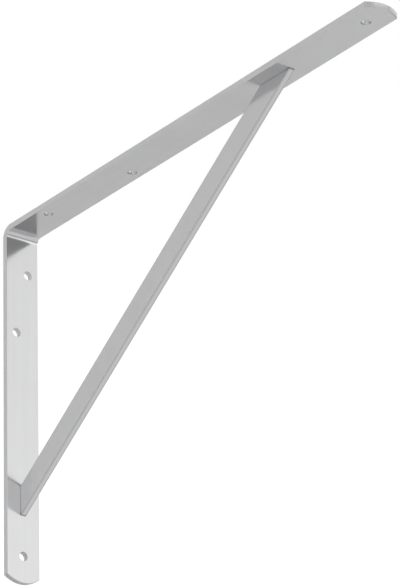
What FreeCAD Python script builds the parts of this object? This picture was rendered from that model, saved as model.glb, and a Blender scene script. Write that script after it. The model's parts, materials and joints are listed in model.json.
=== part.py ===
"""Gallows shelf bracket, in millimetres.

One flat bar is bent into an upright and a shelf arm. A second, narrower bar
stands on edge between the two legs as a diagonal strut.

+X points away from the wall, +Z points up and Y runs along the wall. The
origin lies on the back of the upright, on the centre line, level with the
upper wall screw. Each body is drawn from its corner, where the planes of the
wall and the shelf meet, and its placement then lifts it to that level.
"""

import FreeCAD
import Part
import Sketcher
import os

from FreeCAD import Placement, Rotation, Vector

# Driving sizes: alias, value in millimetres, meaning.
SIZES = [
    ("shelf_reach", 460.0, "wall to the tip of the shelf arm"),
    ("upright_drop", 300.0, "shelf to the tip of the upright"),
    ("bar_width", 30.0, "width of the bent bar"),
    ("bar_thick", 5.0, "thickness of the bent bar"),
    ("bend_inside", 5.0, "inside radius of the bend"),
    ("bar_edge", 0.3, "rounding of the long edges of the bent bar"),
    ("end_rise", 5.0, "how far a rounded end stands out past its shoulders"),
    ("end_edge", 0.6, "rounding of the edges of a rounded end, as a punch leaves it"),
    ("strut_width", 20.0, "width of the strut, seen from the side"),
    ("strut_thick", 5.0, "thickness of the strut, along the wall"),
    ("strut_edge", 0.3, "rounding of the long edges of the strut"),
    ("foot_drop", 245.0, "shelf to the lowest corner of the strut"),
    ("head_reach", 354.5, "wall to the outermost corner of the strut"),
    ("hole_size", 7.6, "diameter of every screw hole"),
    ("hole_stagger", 5.5, "staggered hole to the centre line"),
    ("wall_hole_upper", 39.0, "shelf to the upper wall hole"),
    ("wall_hole_lower", 91.0, "shelf to the lower staggered wall hole"),
    ("shelf_hole_inner", 50.5, "wall to the inner shelf hole"),
    ("shelf_hole_outer", 148.5, "wall to the outer staggered shelf hole"),
    ("end_hole_inset", 21.8, "tip of a rounded end to the hole near it"),
    ("cut_room", 3.0, "how far an end cut runs out past the metal"),
]

# How a sketch numbers the points of a line or arc, and its own axes.
START, END, CENTRE = range(1, 4)
X_AXIS, Y_AXIS = range(-1, -3, -1)
ORIGIN = (X_AXIS, START)


def fill_sheet(doc):
    """Put the driving sizes in a sheet and return them by alias."""
    sheet = doc.addObject("Spreadsheet::Sheet", "sizes")
    for row, (alias, value, meaning) in enumerate(SIZES, start=1):
        sheet.set(f"A{row}", meaning)
        sheet.set(f"B{row}", str(value))
        sheet.setAlias(f"B{row}", alias)
    doc.recompute()
    return {alias: sheet.get(alias) for alias, _, _ in SIZES}


def new_body(doc, name):
    """A body, drawn from the corner and lifted to the upper wall hole."""
    body = doc.addObject("PartDesign::Body", name)
    body.Label = name
    body.setExpression("Placement.Base.z", "sizes.wall_hole_upper")
    return body


def new_sketch(body, name, plane_role, turn=0):
    """An empty sketch on one of the body's origin planes, turned by some degrees."""
    plane = next(p for p in body.Origin.OriginFeatures if p.Role == plane_role)
    sketch = body.newObject("Sketcher::SketchObject", name)
    sketch.AttachmentSupport = [(plane, "")]
    sketch.MapMode = "FlatFace"
    sketch.AttachmentOffset = Placement(Vector(), Rotation(Vector(0, 0, 1), turn))
    return sketch


def add_line(sketch, first, last):
    """A straight line between two (x, y) points."""
    return sketch.addGeometry(Part.LineSegment(Vector(*first), Vector(*last)))


def add_arc(sketch, first, middle, last):
    """An arc through three (x, y) points, anticlockwise from first to last."""
    return sketch.addGeometry(Part.Arc(Vector(*first), Vector(*middle), Vector(*last)))


def relate(sketch, kind, *targets):
    """A constraint that has no size."""
    sketch.addConstraint(Sketcher.Constraint(kind, *targets))


def measure(sketch, name, formula, kind, *targets):
    """A named constraint that follows a formula on the sheet's sizes."""
    index = sketch.addConstraint(Sketcher.Constraint(kind, *targets))
    sketch.renameConstraint(index, name)
    sketch.setExpression(f"Constraints.{name}", formula)


def join_loop(sketch, edges):
    """Close a loop of edges that each start where the one before ends."""
    for edge, following in zip(edges, edges[1:] + edges[:1]):
        relate(sketch, "Coincident", edge, END, following, START)


def draw_bent_profile(sketch, size):
    """The bent bar from the side: two straight legs and two concentric bend arcs."""
    reach, drop = size["shelf_reach"], size["upright_drop"]
    thick, inside = size["bar_thick"], size["bend_inside"]
    outside = inside + thick
    outer_middle = outside - outside * 0.5**0.5
    inner_middle = outside - inside * 0.5**0.5

    back = add_line(sketch, (0, -drop), (0, -outside))
    outer = add_arc(sketch, (outside, 0), (outer_middle, -outer_middle), (0, -outside))
    top = add_line(sketch, (outside, 0), (reach, 0))
    shelf_end = add_line(sketch, (reach, 0), (reach, -thick))
    under = add_line(sketch, (reach, -thick), (outside, -thick))
    inner = add_arc(sketch, (outside, -thick), (inner_middle, -inner_middle), (thick, -outside))
    front = add_line(sketch, (thick, -outside), (thick, -drop))
    wall_end = add_line(sketch, (thick, -drop), (0, -drop))

    relate(sketch, "Tangent", back, END, outer, END)
    relate(sketch, "Tangent", top, START, outer, START)
    relate(sketch, "Tangent", under, END, inner, START)
    relate(sketch, "Tangent", front, START, inner, END)
    relate(sketch, "Coincident", outer, CENTRE, inner, CENTRE)
    relate(sketch, "Coincident", top, END, shelf_end, START)
    relate(sketch, "Coincident", shelf_end, END, under, START)
    relate(sketch, "Coincident", front, END, wall_end, START)
    relate(sketch, "Coincident", wall_end, END, back, START)
    for line in (back, front, shelf_end):
        relate(sketch, "Vertical", line)
    for line in (top, under, wall_end):
        relate(sketch, "Horizontal", line)
    relate(sketch, "PointOnObject", back, START, Y_AXIS)
    relate(sketch, "PointOnObject", top, END, X_AXIS)

    measure(sketch, "reach", "sizes.shelf_reach", "DistanceX", *ORIGIN, top, END, reach)
    measure(sketch, "drop", "sizes.upright_drop", "DistanceY", back, START, *ORIGIN, drop)
    measure(sketch, "thick", "sizes.bar_thick", "DistanceX", back, START, front, END, thick)
    measure(sketch, "inside", "sizes.bend_inside", "Radius", inner, inside)


def tip_radius(size):
    """Radius of the arc that a rounded end is cut to."""
    half, rise = size["bar_width"] / 2, size["end_rise"]
    return (half**2 + rise**2) / (2 * rise)


def draw_end_cut(sketch, size, length_alias):
    """What is cut from the square end of a leg, which runs along x, to leave a shallow arc."""
    length, half = size[length_alias], size["bar_width"] / 2
    rise, room = size["end_rise"], size["cut_room"]
    shoulder, outer = length - rise, half + room

    curve = add_arc(sketch, (shoulder, -half), (length, 0), (shoulder, half))
    step_out = add_line(sketch, (shoulder, half), (shoulder, outer))
    left = add_line(sketch, (shoulder, outer), (length + room, outer))
    far = add_line(sketch, (length + room, outer), (length + room, -outer))
    right = add_line(sketch, (length + room, -outer), (shoulder, -outer))
    step_in = add_line(sketch, (shoulder, -outer), (shoulder, -half))

    join_loop(sketch, [curve, step_out, left, far, right, step_in])
    for line in (left, right):
        relate(sketch, "Horizontal", line)
    for line in (step_out, far, step_in):
        relate(sketch, "Vertical", line)
    relate(sketch, "Symmetric", curve, START, curve, END, X_AXIS)
    relate(sketch, "Equal", step_out, step_in)

    radius = "(sizes.bar_width ^ 2 / 4 + sizes.end_rise ^ 2) / (2 * sizes.end_rise)"
    to_shoulder = f"sizes.{length_alias} - sizes.end_rise"
    past_shoulder = "sizes.end_rise + sizes.cut_room"
    measure(sketch, "width", "sizes.bar_width", "DistanceY", curve, START, curve, END, 2 * half)
    measure(sketch, "tip_radius", radius, "Radius", curve, tip_radius(size))
    measure(sketch, "shoulder", to_shoulder, "DistanceX", *ORIGIN, curve, START, shoulder)
    measure(sketch, "side_room", "sizes.cut_room", "DistanceY", curve, END, step_out, END, room)
    measure(sketch, "end_room", past_shoulder, "DistanceX", left, START, left, END, rise + room)


def draw_holes(sketch, size, length_alias, inner_alias, outer_alias, inner_side):
    """Three screw holes in a leg that runs along x: a staggered pair and one near the tip.

    The hole nearer the bend is on the side of the centre line that inner_side
    (1 or -1) gives, and the next hole is on the other side.
    """
    stagger, radius = size["hole_stagger"], size["hole_size"] / 2
    pair = [
        ("inner", inner_alias, inner_side),
        ("outer", outer_alias, -inner_side),
    ]
    circles = []
    for name, alias, side in pair:
        along = size[alias]
        spot = Vector(along, side * stagger)
        circle = sketch.addGeometry(Part.Circle(spot, Vector(0, 0, 1), radius))
        ends = (*ORIGIN, circle, CENTRE) if side > 0 else (circle, CENTRE, *ORIGIN)
        measure(sketch, f"{name}_along", f"sizes.{alias}", "DistanceX", *ORIGIN, circle, CENTRE, along)
        measure(sketch, f"{name}_stagger", "sizes.hole_stagger", "DistanceY", *ends, stagger)
        circles.append(circle)

    along = size[length_alias] - size["end_hole_inset"]
    from_corner = f"sizes.{length_alias} - sizes.end_hole_inset"
    last = sketch.addGeometry(Part.Circle(Vector(along, 0), Vector(0, 0, 1), radius))
    relate(sketch, "PointOnObject", last, CENTRE, X_AXIS)
    measure(sketch, "end_along", from_corner, "DistanceX", *ORIGIN, last, CENTRE, along)

    measure(sketch, "hole", "sizes.hole_size", "Diameter", last, 2 * radius)
    for circle in circles:
        relate(sketch, "Equal", last, circle)


def draw_strut(sketch, size):
    """The strut from the side: two parallel long edges, cut off along the faces of the legs."""
    seat, width = size["bar_thick"], size["strut_width"]
    foot, head = size["foot_drop"], size["head_reach"]
    run, climb = head - seat, foot - seat
    slope_length = (run**2 + climb**2) ** 0.5
    foot_height = width * slope_length / run
    head_width = width * slope_length / climb

    lower = add_line(sketch, (seat, -foot), (head, -seat))
    head_cut = add_line(sketch, (head, -seat), (head - head_width, -seat))
    upper = add_line(sketch, (head - head_width, -seat), (seat, -foot + foot_height))
    foot_cut = add_line(sketch, (seat, -foot + foot_height), (seat, -foot))

    join_loop(sketch, [lower, head_cut, upper, foot_cut])
    relate(sketch, "Horizontal", head_cut)
    relate(sketch, "Vertical", foot_cut)
    relate(sketch, "Parallel", lower, upper)

    measure(sketch, "wall_seat", "sizes.bar_thick", "DistanceX", *ORIGIN, lower, START, seat)
    measure(sketch, "shelf_seat", "sizes.bar_thick", "DistanceY", lower, END, *ORIGIN, seat)
    measure(sketch, "foot_drop", "sizes.foot_drop", "DistanceY", lower, START, *ORIGIN, foot)
    measure(sketch, "head_reach", "sizes.head_reach", "DistanceX", *ORIGIN, lower, END, head)
    measure(sketch, "width", "sizes.strut_width", "Distance", upper, START, lower, width)


def thicken(body, sketch, name, alias):
    """A pad of the sketch, half of it to each side of the sketch's plane."""
    pad = body.newObject("PartDesign::Pad", name)
    pad.Profile = sketch
    pad.SideType = "Symmetric"
    pad.setExpression("Length", f"sizes.{alias}")
    body.Document.recompute()
    return pad


def round_edges(body, base, name, alias, references):
    """A fillet on the named edges or faces of the feature before it."""
    fillet = body.newObject("PartDesign::Fillet", name)
    fillet.Base = (base, references)
    fillet.setExpression("Radius", f"sizes.{alias}")
    body.Document.recompute()
    return fillet


def cut_through(body, sketch, name):
    """A pocket right through the body, which has to remove some metal."""
    before = body.Shape.Volume
    pocket = body.newObject("PartDesign::Pocket", name)
    pocket.Profile = sketch
    pocket.SideType = "Symmetric"
    pocket.Type = "ThroughAll"
    body.Document.recompute()
    if pocket.Shape.Volume > before - 1:
        raise RuntimeError(f"{name} removed no metal")
    return pocket


def side_faces(feature):
    """The two flat faces that look along the wall, one each way."""
    faces = enumerate(feature.Shape.Faces, start=1)
    return [f"Face{number}" for number, face in faces if abs(face.normalAt(0, 0).y) > 0.99]


def end_edges(feature, size, across):
    """The two arcs of a rounded end, on the two faces of the leg that is thick along across."""
    edges = enumerate(feature.Shape.Edges, start=1)
    return [
        f"Edge{number}"
        for number, edge in edges
        if isinstance(edge.Curve, Part.Circle)
        and abs(edge.Curve.Radius - tip_radius(size)) < 0.001
        and abs(edge.Curve.Axis.dot(across)) > 0.999
    ]


def long_edges(feature, direction):
    """The straight edges that run along a direction."""
    edges = enumerate(feature.Shape.Edges, start=1)
    along = direction.normalize()
    return [
        f"Edge{number}"
        for number, edge in edges
        if abs(edge.tangentAt(edge.FirstParameter).dot(along)) > 0.999
    ]


def make_bent_bar(doc, size):
    """Upright and shelf arm: one bar, bent, trimmed at both ends, eased and drilled."""
    body = new_body(doc, "bent_bar")
    profile = new_sketch(body, "bent_profile", "XZ_Plane")
    draw_bent_profile(profile, size)
    bar = thicken(body, profile, "bar", "bar_width")

    # On the upright, a sketch's x runs down the wall: a quarter turn on its plane.
    down = ("YZ_Plane", -90)
    out = ("XY_Plane", 0)
    ends = [
        ("upright", down, "upright_drop", Vector(1, 0, 0)),
        ("shelf_arm", out, "shelf_reach", Vector(0, 0, 1)),
    ]
    for leg, plane, length, across in ends:
        end = new_sketch(body, f"{leg}_end", *plane)
        draw_end_cut(end, size, length)
        bar = cut_through(body, end, f"{leg}_end_cut")
        bar = round_edges(body, bar, f"{leg}_end_edges", "end_edge", end_edges(bar, size, across))
    round_edges(body, bar, "bar_edges", "bar_edge", side_faces(bar))

    holes = [
        ("upright", down, "upright_drop", "wall_hole_upper", "wall_hole_lower", 1),
        ("shelf_arm", out, "shelf_reach", "shelf_hole_inner", "shelf_hole_outer", -1),
    ]
    for leg, plane, *sizes in holes:
        spots = new_sketch(body, f"{leg}_holes", *plane)
        draw_holes(spots, size, *sizes)
        cut_through(body, spots, f"{leg}_hole_cut")
    return body


def make_strut(doc, size):
    """The diagonal: a bar on edge whose slanted ends lie flat on both legs."""
    body = new_body(doc, "diagonal_strut")
    outline = new_sketch(body, "strut_outline", "XZ_Plane")
    draw_strut(outline, size)
    bar = thicken(body, outline, "strut_bar", "strut_thick")
    slope = Vector(size["head_reach"] - size["bar_thick"], 0, size["foot_drop"] - size["bar_thick"])
    round_edges(body, bar, "strut_edges", "strut_edge", long_edges(bar, slope))
    return body


def check(doc, bodies):
    """Stop if any feature failed or any body is not one sound solid."""
    for item in doc.Objects:
        if {"Invalid", "Error"} & set(item.State):
            raise RuntimeError(f"{item.Label} failed: {item.State}")
    for body in bodies:
        shape = body.Shape
        if shape.isNull() or not shape.isValid() or len(shape.Solids) != 1:
            raise RuntimeError(f"{body.Label} is not one sound solid")


def main():
    doc = FreeCAD.newDocument("gallows_bracket")
    size = fill_sheet(doc)
    bodies = [make_bent_bar(doc, size), make_strut(doc, size)]
    doc.recompute()
    check(doc, bodies)

    os.makedirs("parts", exist_ok=True)
    for body in bodies:
        body.Shape.exportStep(f"parts/{body.Label}.step")
        box = body.Shape.BoundBox
        print(f"{body.Label}: {body.Shape.Volume:.0f} mm3, {box}")


main()
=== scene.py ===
# %% [markdown]
# # A gallows shelf bracket in bright zinc plate
#
# The bracket is two pieces of flat steel bar. The wide one is bent into an
# upright and a shelf arm. The narrow one stands on edge between them as a strut.
# The construction arrives finished, at its real size, as two meshes, so this
# lesson is about the finish of the metal, the room it mirrors, and a camera that
# stands where the photographer stood.

import json
import math

import bpy
from mathutils import Euler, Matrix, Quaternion, Vector

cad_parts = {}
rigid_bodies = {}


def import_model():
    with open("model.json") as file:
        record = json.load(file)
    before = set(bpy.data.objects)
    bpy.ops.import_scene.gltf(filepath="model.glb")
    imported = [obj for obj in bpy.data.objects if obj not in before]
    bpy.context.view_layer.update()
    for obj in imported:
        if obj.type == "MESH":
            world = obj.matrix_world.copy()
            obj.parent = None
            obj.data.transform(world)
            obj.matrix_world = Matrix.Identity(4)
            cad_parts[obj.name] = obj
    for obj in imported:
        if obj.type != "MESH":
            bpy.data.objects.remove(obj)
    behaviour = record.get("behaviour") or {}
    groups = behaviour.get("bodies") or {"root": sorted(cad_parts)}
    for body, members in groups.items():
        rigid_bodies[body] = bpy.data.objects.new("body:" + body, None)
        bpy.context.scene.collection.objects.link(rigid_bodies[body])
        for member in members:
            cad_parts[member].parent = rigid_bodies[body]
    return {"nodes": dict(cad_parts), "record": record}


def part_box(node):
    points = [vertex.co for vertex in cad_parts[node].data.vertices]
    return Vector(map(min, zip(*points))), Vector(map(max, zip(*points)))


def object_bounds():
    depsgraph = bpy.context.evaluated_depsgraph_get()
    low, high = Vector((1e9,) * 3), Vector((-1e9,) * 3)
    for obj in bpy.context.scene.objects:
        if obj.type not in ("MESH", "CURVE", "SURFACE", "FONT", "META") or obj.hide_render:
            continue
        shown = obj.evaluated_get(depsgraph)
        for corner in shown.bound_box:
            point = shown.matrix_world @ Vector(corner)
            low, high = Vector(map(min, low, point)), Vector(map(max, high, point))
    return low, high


for leftover in list(bpy.data.objects):
    bpy.data.objects.remove(leftover)
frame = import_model()
bar = frame["nodes"]["bent_bar"]
strut = frame["nodes"]["diagonal_strut"]
cad_low, cad_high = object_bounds()
print("bracket, in metres:", [round(v, 4) for v in cad_high - cad_low])

# %% [markdown]
# ## The camera
#
# The photograph looks up from below and from the open side, so the underside of
# the shelf arm and the front of the upright both show. A long lens keeps the
# perspective gentle. The camera could be aimed by a constraint, but a direction
# and a roll are easier to read, and they leave nothing live in the scene.

# %% Camera
PICTURE_HEIGHT = 588
FOCAL_PIXELS = 3306.64
CAMERA_SPOT = (2.00028, -1.36958, -1.09334)
VIEW_AZIMUTH = math.radians(142.167)
VIEW_RISE = math.radians(23.9194)
VIEW_ROLL = math.radians(1.6474)

bpy.ops.object.select_all(action="DESELECT")
bpy.ops.object.camera_add(location=CAMERA_SPOT)
camera = bpy.context.object
camera.name = "long_lens"
camera.data.sensor_width = 36
camera.data.lens = FOCAL_PIXELS * camera.data.sensor_width / PICTURE_HEIGHT
sight = Vector((
    math.cos(VIEW_RISE) * math.cos(VIEW_AZIMUTH),
    math.cos(VIEW_RISE) * math.sin(VIEW_AZIMUTH),
    math.sin(VIEW_RISE),
))
camera.rotation_mode = "QUATERNION"
camera.rotation_quaternion = Quaternion(sight, VIEW_ROLL) @ sight.to_track_quat("-Z", "Y")
bpy.context.scene.camera = camera
print("lens of", round(camera.data.lens), "mm, looking up by",
      round(math.degrees(VIEW_RISE), 1), "degrees")

# %% [markdown]
# ## The white room
#
# Bright metal shows what surrounds it more than a colour of its own. The bracket
# hangs in a white room whose walls are a little brighter near eye level than
# higher up. That is why the upright grows lighter towards its foot. Lamps could
# do the same, but their round or square shapes would show in the plating.

# %% World
HIGH_WALL, EYE_LEVEL = 1.0, 1.27
HIGH_Z, EYE_Z = 0.42, 0.20

room = bpy.data.worlds.new("white_room")
bpy.context.scene.world = room
room.use_nodes = True
tree = room.node_tree
direction = tree.nodes.new("ShaderNodeTexCoord")
split = tree.nodes.new("ShaderNodeSeparateXYZ")
glow = tree.nodes.new("ShaderNodeMapRange")
glow.inputs["From Min"].default_value = EYE_Z
glow.inputs["From Max"].default_value = HIGH_Z
glow.inputs["To Min"].default_value = EYE_LEVEL
glow.inputs["To Max"].default_value = HIGH_WALL
white_walls = tree.nodes["Background"]
white_walls.inputs["Color"].default_value = (1, 1, 1, 1)
tree.links.new(direction.outputs["Generated"], split.inputs["Vector"])
tree.links.new(split.outputs["Z"], glow.inputs["Value"])
tree.links.new(glow.outputs["Result"], white_walls.inputs["Strength"])
print("room light from", HIGH_WALL, "up high to", EYE_LEVEL, "at eye level")

# %% [markdown]
# ## The floor
#
# A pale floor lies well below the bracket. It lights the lower faces and is
# mirrored in them. It could have one flat grey, but a painted board has faint
# roller marks, so the paint is noise within a narrow range. The boards of the
# next step wear the same paint in other greys.

# %% Floor
FLOOR_Z, FLOOR_SIZE, FLOOR_GREY = -4.0, (80, 80), 0.76
CHALKY = 0.9
ROLLER_MARKS, MARKS_PER_METRE = 0.02, 3.0
LYING = (0, 0, 0)


def matt_paint(title, grey):
    """Plain matt paint, with the faint roller marks that a painted board has."""
    paint = bpy.data.materials.new(title)
    paint.use_nodes = True
    nodes, links = paint.node_tree.nodes, paint.node_tree.links
    shader = nodes["Principled BSDF"]
    shader.inputs["Roughness"].default_value = CHALKY
    shader.inputs["Specular IOR Level"].default_value = 0.0
    place = nodes.new("ShaderNodeTexCoord")
    marks = nodes.new("ShaderNodeTexNoise")
    marks.inputs["Scale"].default_value = MARKS_PER_METRE
    tone = nodes.new("ShaderNodeMapRange")
    tone.inputs["To Min"].default_value = grey * (1 - ROLLER_MARKS)
    tone.inputs["To Max"].default_value = grey * (1 + ROLLER_MARKS)
    links.new(place.outputs["Object"], marks.inputs["Vector"])
    links.new(marks.outputs["Fac"], tone.inputs["Value"])
    links.new(tone.outputs["Result"], shader.inputs["Base Color"])
    return paint


def add_board(title, spot, size, turn, grey):
    """Stand one painted board in the room."""
    bpy.ops.object.select_all(action="DESELECT")
    bpy.ops.mesh.primitive_plane_add(size=1, location=spot, rotation=turn)
    board = bpy.context.object
    board.name = title
    board.scale = (*size, 1)
    bpy.ops.object.transform_apply(location=True, rotation=True, scale=True)
    board.data.materials.append(matt_paint(title + "_paint", grey))
    print(title, "of", size, "m in grey", grey)
    return board


add_board("floor", (0, 0, FLOOR_Z), FLOOR_SIZE, LYING, FLOOR_GREY)

# %% [markdown]
# ## Boards and flags
#
# In an all-white room, bright metal turns white too and loses its shape, so a
# photographer stands painted boards around it to be mirrored. Three pale flats
# behind the bracket tone down the underside and the strut. A low grey flag makes
# the dark triangles in the inner corner. A high one draws the strut's upper edge
# where the upright mirrors it, and a turned one shades the arm's holes and one
# side of its rounded end. A ceiling and three walls do the same for the other
# sides. The boards could throw shadows and bounce light, as real ones do, but
# only their reflections are wanted, so they are hidden from all the rest.

# %% Boards and flags
FACING_X, FACING_Y = (0, math.pi / 2, 0), (math.pi / 2, 0, 0)
TURNED = (0, math.pi / 2, math.radians(-21))

boards = [
    add_board("low_flat", (-3.5, -1.9, -2.1), (3.8, 10.2), FACING_X, 0.69),
    add_board("pale_flat", (-3.5, 5.1, -2.1), (3.8, 3.8), FACING_X, 0.74),
    add_board("tall_flat", (-3.5, -3.05, 2.15), (4.7, 7.9), FACING_X, 0.70),
    add_board("low_flag", (4.5, 3.25, -2.5), (1.5, 5.5), FACING_X, 0.38),
    add_board("high_flag", (3.0, 2.95, 3.4), (1.9, 3.7), FACING_X, 0.35),
    add_board("ceiling", (0, 0, 5), (8, 8), LYING, 0.64),
    add_board("near_wall", (2.1, -6, 0), (11.0, 8), FACING_Y, 0.60),
    add_board("far_wall", (0.6, 6, -1), (8.0, 6), FACING_Y, 0.60),
    add_board("front_wall", (6, -1.0, -1.2), (5.6, 5.0), FACING_X, 0.60),
    add_board("end_flag", (5.97, -2.29, 3.32), (0.85, 4.1), TURNED, 0.35),
]
for board in boards:
    board.visible_camera = board.visible_diffuse = board.visible_shadow = False
print(len(boards), "boards are seen only by mirrored rays")

# %% [markdown]
# ## Bright zinc on rolled bar
#
# Flat bar is rolled and straightened, which leaves fine lines along it. Bright
# zinc plate follows those lines and clouds a little where the bath was uneven.
# The effect needs to know which way the bar runs, so it takes the distance along
# and across the bar rather than plain position. It could be a brushed picture
# wrapped round each piece, but noise stretched along the bar has no seams and
# stays sharp at any distance.

# %% Rolled zinc sockets
NUMBER, DIRECTION = "NodeSocketFloat", "NodeSocketVector"


def add_node(tree, kind, inputs, **settings):
    """Add a node, change its settings, and feed its inputs from links or plain values."""
    made = tree.nodes.new(kind)
    for name, value in settings.items():
        setattr(made, name, value)
    for name, value in inputs.items():
        if isinstance(value, bpy.types.NodeSocket):
            tree.links.new(value, made.inputs[name])
        else:
            made.inputs[name].default_value = value
    return made


def add_math(tree, operation, first, second):
    """One sum in a node tree."""
    made = add_node(tree, "ShaderNodeMath", {0: first, 1: second}, operation=operation)
    return made.outputs[0]


def start_group(title, inputs, outputs):
    """A shader node group with named sockets, and its two end nodes."""
    group = bpy.data.node_groups.new(title, "ShaderNodeTree")
    for name, kind in inputs.items():
        group.interface.new_socket(name=name, in_out="INPUT", socket_type=kind)
    for name, kind in outputs.items():
        group.interface.new_socket(name=name, in_out="OUTPUT", socket_type=kind)
    given = group.nodes.new("NodeGroupInput").outputs
    result = group.nodes.new("NodeGroupOutput").inputs
    print(title, "takes", ", ".join(inputs), "and gives", ", ".join(outputs))
    return group, given, result


rolled_zinc, given, result = start_group(
    "rolled_zinc",
    {"Along": NUMBER, "Across": NUMBER, "Position": DIRECTION,
     "Contrast": NUMBER, "Roughness": NUMBER},
    {"Shade": NUMBER, "Roughness": NUMBER, "Height": NUMBER},
)

# %% Rolled zinc marks
LINE_SHARE, BAND_SHARE, CLOUD_SHARE = 0.08, 0.05, 0.06
HAZE, LINES_IN_HAZE = 0.12, 0.5


def in_zinc(operation, first, second):
    """One sum inside the group."""
    return add_math(rolled_zinc, operation, first, second)


def noise_about_zero(where, scale, detail):
    """Noise that darkens as much as it lightens."""
    noise = add_node(rolled_zinc, "ShaderNodeTexNoise", {
        "Vector": where, "Scale": scale, "Detail": detail,
    })
    return in_zinc("SUBTRACT", noise.outputs["Fac"], 0.5)


def stretched_noise(along, across, detail):
    """Noise drawn out along the bar: the scales are marks to the metre."""
    where = add_node(rolled_zinc, "ShaderNodeCombineXYZ", {
        "X": in_zinc("MULTIPLY", given["Along"], along),
        "Y": in_zinc("MULTIPLY", given["Across"], across),
    })
    return noise_about_zero(where.outputs["Vector"], 1.0, detail)


rolling_lines = stretched_noise(along=5, across=900, detail=4)
broad_bands = stretched_noise(along=2, across=160, detail=2)
clouds = noise_about_zero(given["Position"], scale=26.0, detail=3.0)
marks = in_zinc("MULTIPLY", rolling_lines, LINE_SHARE)
marks = in_zinc("ADD", marks, in_zinc("MULTIPLY", broad_bands, BAND_SHARE))
marks = in_zinc("ADD", marks, in_zinc("MULTIPLY", clouds, CLOUD_SHARE))
marks = in_zinc("MULTIPLY", marks, given["Contrast"])
rolled_zinc.links.new(in_zinc("ADD", marks, 1.0), result["Shade"])
haze = in_zinc("ADD", clouds, in_zinc("MULTIPLY", rolling_lines, LINES_IN_HAZE))
haze = in_zinc("ADD", in_zinc("MULTIPLY", haze, HAZE), given["Roughness"])
rolled_zinc.links.new(haze, result["Roughness"])
rolled_zinc.links.new(rolling_lines, result["Height"])
print("rolled_zinc has", len(rolled_zinc.nodes), "nodes")

# %% [markdown]
# ## Punched and cropped edges
#
# The holes and the rounded ends are punched. A punch shears the steel cleanly
# for the first half and then tears it, and plating over torn metal is duller and
# darker than over the rolled face. Every one of these edges is part of a
# cylinder, so the distance from its axis finds the wall, and the distance along
# the axis finds the torn half. It could be painted by hand, but distances stay
# exact and need no unwrapping.

# %% Torn wall group
HALF_THICK = 0.0025
WALL_SLACK = 0.0002
TORN_FROM, TORN_FULL, CLEAN_SHARE = -0.0010, 0.0002, 0.35
RIM_INNER, RIM_OUTER = 0.0003, 0.0001

torn_wall, given, result = start_group(
    "torn_wall",
    {"Position": DIRECTION, "Centre": DIRECTION, "Axis": DIRECTION, "Radius": NUMBER},
    {"Mask": NUMBER},
)


def measure(operation, inputs):
    """One sum with directions inside the group."""
    return add_node(torn_wall, "ShaderNodeVectorMath", inputs, operation=operation).outputs


offset = measure("SUBTRACT", {0: given["Position"], 1: given["Centre"]})["Vector"]
square_off = measure("CROSS_PRODUCT", {0: offset, 1: given["Axis"]})["Vector"]
distance = measure("LENGTH", {0: square_off})["Value"]
on_wall = add_node(torn_wall, "ShaderNodeMath", {
    0: distance, 1: given["Radius"], 2: WALL_SLACK,
}, operation="COMPARE").outputs["Value"]
height = measure("DOT_PRODUCT", {0: offset, 1: given["Axis"]})["Value"]
torn = add_node(torn_wall, "ShaderNodeMapRange", {
    "Value": height, "From Min": TORN_FROM, "From Max": TORN_FULL, "To Min": CLEAN_SHARE,
}).outputs["Result"]
below_face = add_node(torn_wall, "ShaderNodeMapRange", {
    "Value": height, "From Min": HALF_THICK - RIM_OUTER, "From Max": HALF_THICK - RIM_INNER,
}).outputs["Result"]
torn = add_math(torn_wall, "MULTIPLY", torn, below_face)
torn_wall.links.new(add_math(torn_wall, "MULTIPLY", torn, on_wall), result["Mask"])
print("torn_wall has", len(torn_wall.nodes), "nodes")

# %% [markdown]
# ## The bent bar
#
# One bar is both the upright and the shelf arm, so its lines have to run on round
# the bend. Each leg could have a material of its own, but they would meet in a
# seam. Instead the distance along the bar is taken as its reach out from the wall
# less its height, which grows away from the bend along both legs and runs on
# smoothly round it.

# %% Zinc on the bent bar
SATIN = 0.16


def start_finish(title):
    """A bright zinc material: its tree, its shader, and the place on the piece."""
    finish = bpy.data.materials.new(title)
    finish.use_nodes = True
    shader = finish.node_tree.nodes["Principled BSDF"]
    shader.inputs["Metallic"].default_value = 1.0
    place = finish.node_tree.nodes.new("ShaderNodeTexCoord").outputs["Object"]
    return finish, finish.node_tree, shader, place


def add_group(tree, group, inputs):
    """Place a node group in a material with its own values."""
    return add_node(tree, "ShaderNodeGroup", inputs, node_tree=group).outputs


bar_finish, tree, shader, place = start_finish("bar_zinc")
split = add_node(tree, "ShaderNodeSeparateXYZ", {"Vector": place}).outputs
zinc = add_group(tree, rolled_zinc, {
    "Along": add_math(tree, "SUBTRACT", split["X"], split["Z"]), "Across": split["Y"],
    "Position": place, "Contrast": 1.0, "Roughness": SATIN,
})
legs = cad_high - cad_low
print("rolling lines run along legs of", round(legs.x, 3), "and", round(legs.z, 3), "m")

# %% [markdown]
# ## Dull places on the bent bar
#
# The wall of the hole at the foot is darkened fully, the two above it a little,
# and those in the shelf arm are left out. The places could be typed in again, but
# they come from the record of the part, so the darkened walls always sit in the
# real holes. The rounded ends are parts of larger cylinders, so the same group
# finds them, kept to the metal beyond the centre of the arc.

# %% Punched edges of the bent bar
TIP_RADIUS = 0.025
HOLE_DARKENING = {"wall_hole_upper": 0.3, "wall_hole_lower": 0.3, "wall_hole_end": 1.0}

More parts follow.
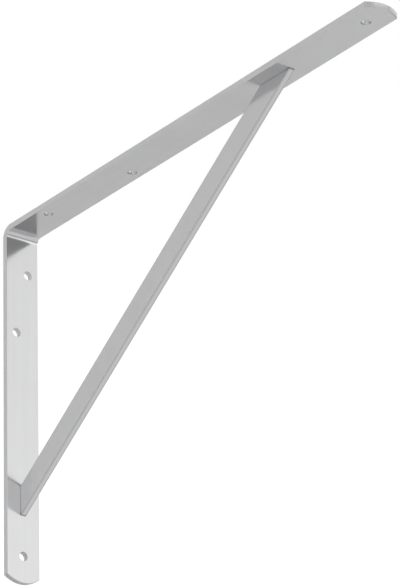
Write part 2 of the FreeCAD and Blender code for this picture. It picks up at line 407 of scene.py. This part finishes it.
dull_places = []
for hole in frame["record"]["mounts"]:
    if hole["name"] in HOLE_DARKENING:
        torn = add_group(tree, torn_wall, {
            "Position": place, "Centre": hole["pos_m"], "Axis": hole["axis"],
            "Radius": hole["dims"]["r_mm"] / 1000,
        })["Mask"]
        dull_places.append(add_math(tree, "MULTIPLY", torn, HOLE_DARKENING[hole["name"]]))
bar_low, bar_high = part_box("bent_bar")
tips = (
    ((bar_high.x - TIP_RADIUS, 0, bar_high.z - HALF_THICK), (0, 0, -1),
     ("GREATER_THAN", split["X"], bar_high.x - TIP_RADIUS)),
    ((HALF_THICK, 0, bar_low.z + TIP_RADIUS), (1, 0, 0),
     ("LESS_THAN", split["Z"], bar_low.z + TIP_RADIUS)),
)
for centre, axis, beyond in tips:
    tip = add_group(tree, torn_wall, {
        "Position": place, "Centre": centre, "Axis": axis, "Radius": TIP_RADIUS,
    })["Mask"]
    dull_places.append(add_math(tree, "MULTIPLY", tip, add_math(tree, *beyond)))
darkening = dull_places[0]
for dull_place in dull_places[1:]:
    darkening = add_math(tree, "MAXIMUM", darkening, dull_place)
print(len(dull_places), "punched edges are dull")

# %% [markdown]
# ## Joining the marks
#
# The zinc itself is a pale grey with a breath of blue. Its marks make it lighter
# or darker, and the dull places darken and roughen it further; on the strut the
# same step also lays on painted seam shade. Two materials could be mixed, but one
# shader with changing colour and roughness stays simple.
# The rolling lines are also a very shallow bump, which draws out the reflections.

# %% Wear on the bent bar
ZINC = (0.662, 0.663, 0.670)
LINE_STRENGTH, LINE_DEPTH = 0.5, 0.000003


def join_marks_and_darkening(tree, shader, zinc, darkening_mask, darkest_shade, darkened_roughness):
    """Join the zinc's marks and the darkened places (on the strut also painted seam shade), and
    feed them to the shader.
    """
    keep = add_node(tree, "ShaderNodeMapRange", {
        "Value": darkening_mask, "To Min": 1.0, "To Max": darkest_shade,
    })
    shade = add_math(tree, "MULTIPLY", zinc["Shade"], keep.outputs["Result"])
    colour = add_node(tree, "ShaderNodeVectorMath", {0: ZINC, "Scale": shade}, operation="SCALE")
    tree.links.new(colour.outputs[0], shader.inputs["Base Color"])
    rough = add_node(tree, "ShaderNodeMix", {
        "Factor": darkening_mask, "A": zinc["Roughness"], "B": darkened_roughness,
    })
    tree.links.new(rough.outputs["Result"], shader.inputs["Roughness"])
    lines = add_node(tree, "ShaderNodeBump", {
        "Height": zinc["Height"], "Strength": LINE_STRENGTH, "Distance": LINE_DEPTH,
    })
    tree.links.new(lines.outputs["Normal"], shader.inputs["Normal"])


join_marks_and_darkening(tree, shader, zinc, darkening, darkest_shade=0.78, darkened_roughness=0.3)
bar.data.materials.clear()
bar.data.materials.append(bar_finish)
print("bent bar finish has", len(tree.nodes), "nodes")

# %% [markdown]
# ## The strut
#
# The strut's lines follow its own slope. The strut could be modelled level and
# turned afterwards, but it arrives in place, so a Mapping node turns the pattern
# until the strut lies level in it.

# %% Zinc on the strut
strut_low, strut_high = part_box("diagonal_strut")
strut_slope = math.atan2(strut_high.z - strut_low.z, strut_high.x - strut_low.x)

strut_finish, tree, shader, place = start_finish("strut_zinc")
level = add_node(tree, "ShaderNodeMapping", {"Vector": place, "Rotation": (0, strut_slope, 0)})
turned = add_node(tree, "ShaderNodeSeparateXYZ", {"Vector": level.outputs["Vector"]}).outputs
zinc = add_group(tree, rolled_zinc, {
    "Along": turned["X"], "Across": add_math(tree, "ADD", turned["Z"], turned["Y"]),
    "Position": place, "Contrast": 0.6, "Roughness": SATIN,
})
print("strut slopes at", round(math.degrees(strut_slope), 1), "degrees")

# %% [markdown]
# ## Edges and painted seam shade of the strut
#
# The strut's long edges are cut, not rolled, and a strip along each is made darker and rougher.
# Where its ends are welded to the bar, a thin dark line of painted shade stands
# for the shadow in the crack, darkest at the corners. It could be a groove in
# the metal, but it is far too fine for that and only its colour shows.

# %% Cut edges of the strut
SIDE_EDGE, LOWER_EDGE = 0.0008, 0.0018
OUTER_PART = 1 / 3


def near(value, start, full):
    """A mask that grows from 0 to 1 as a distance goes from start to full."""
    return add_node(tree, "ShaderNodeMapRange", {
        "Value": value, "From Min": start, "From Max": full,
    }).outputs["Result"]


def near_rim(value, centre, half, width):
    """A mask of the strips along both ends of a span."""
    away = add_math(tree, "ABSOLUTE", add_math(tree, "SUBTRACT", value, centre), 0.0)
    return near(away, half - width, half - width * OUTER_PART)


turn = Euler((0, strut_slope, 0)).to_matrix()
heights = [(turn @ corner.co).z for corner in strut.data.vertices]
lowest, highest = min(heights), max(heights)
strut_middle, strut_half = (highest + lowest) / 2, (highest - lowest) / 2
edges = add_math(tree, "MINIMUM", near_rim(turned["Y"], 0.0, HALF_THICK, LOWER_EDGE),
                 near_rim(turned["Z"], strut_middle, strut_half, SIDE_EDGE))
print("strut is", round(highest - lowest, 4), "m wide between its cut edges")

# %% Painted seam shade and darkened edges on the strut
SEAM_SHADE, CORNER_SHADE = 0.0012, 0.004
EDGE_SHARE, SEAM_SHADE_SHARE, CORNER_SHADE_SHARE = 0.3, 0.35, 0.9

split = add_node(tree, "ShaderNodeSeparateXYZ", {"Vector": place}).outputs
# Painted shade: a thin dark line where each end of the strut meets the bar.
foot_seam_shade = near(split["X"], strut_low.x + SEAM_SHADE, strut_low.x + SEAM_SHADE * OUTER_PART)
head_seam_shade = near(split["Z"], strut_high.z - SEAM_SHADE, strut_high.z - SEAM_SHADE * OUTER_PART)
seam_shade = add_math(tree, "MAXIMUM", foot_seam_shade, head_seam_shade)
# The painted seam shade is darkest towards the lower corners.
corner_shade = add_node(tree, "ShaderNodeMapRange", {
    "Value": turned["Z"], "From Min": lowest + CORNER_SHADE, "From Max": lowest,
    "To Min": SEAM_SHADE_SHARE, "To Max": CORNER_SHADE_SHARE,
}).outputs["Result"]
# One mask of darkened edge strips and painted seam shade.
darkening = add_math(tree, "MAXIMUM", add_math(tree, "MULTIPLY", edges, EDGE_SHARE),
                add_math(tree, "MULTIPLY", seam_shade, corner_shade))
join_marks_and_darkening(tree, shader, zinc, darkening, darkest_shade=0.35, darkened_roughness=0.4)
strut.data.materials.clear()
strut.data.materials.append(strut_finish)
print("strut finish has", len(tree.nodes), "nodes")

# %% [markdown]
# ## Finish
#
# The plain view transform keeps each grey as it was written.

# %% View transform
bpy.context.scene.view_settings.view_transform = "Standard"
